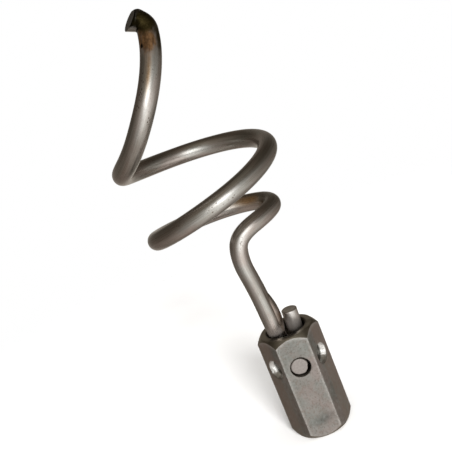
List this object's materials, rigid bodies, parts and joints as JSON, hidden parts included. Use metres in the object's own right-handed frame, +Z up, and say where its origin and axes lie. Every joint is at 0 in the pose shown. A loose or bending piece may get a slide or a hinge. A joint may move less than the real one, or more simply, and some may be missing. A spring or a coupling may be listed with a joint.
{
  "type": "mortar mixing paddle",
  "caption": "Round steel bar coiled into a widening right-handed spiral with a turned-over point, its bent tang locked by a loose pin in a long hexagonal drive coupling.",
  "frame": {"origin": "centre of the coupling's lower end face, at the mouth of the drive thread", "axes": "+Z up the coupling's axis towards the spiral; -Y is the coupling flat whose cross hole holds the bar's tang"},
  "size_m": [0.0796, 0.087, 0.2383],
  "materials": {
    "coupling_steel": "drawn hexagon bar, dull grey, turned chamfers",
    "bar_steel": "satin brown-grey bar, blackened at the forged point",
    "pin_steel": "satin grey"
  },
  "bodies": {
    "coupling": {"hex_coupling": "coupling_steel"},
    "bar": {"spiral_bar": "bar_steel"},
    "pin": {"lock_pin": "pin_steel"}
  },
  "joints": [
    {"name": "pin_slide", "type": "slide", "parent": "coupling", "child": "pin", "axis": [0.03, -0.035, 0.9989], "range_m": [0, 0.025]},
    {"name": "bar_rock", "type": "hinge", "parent": "coupling", "child": "bar", "pos_m": [-0.0004, -0.0122, 0.04295], "axis": [0, 1, 0], "range_deg": [-1.2, 2.5]}
  ]
}
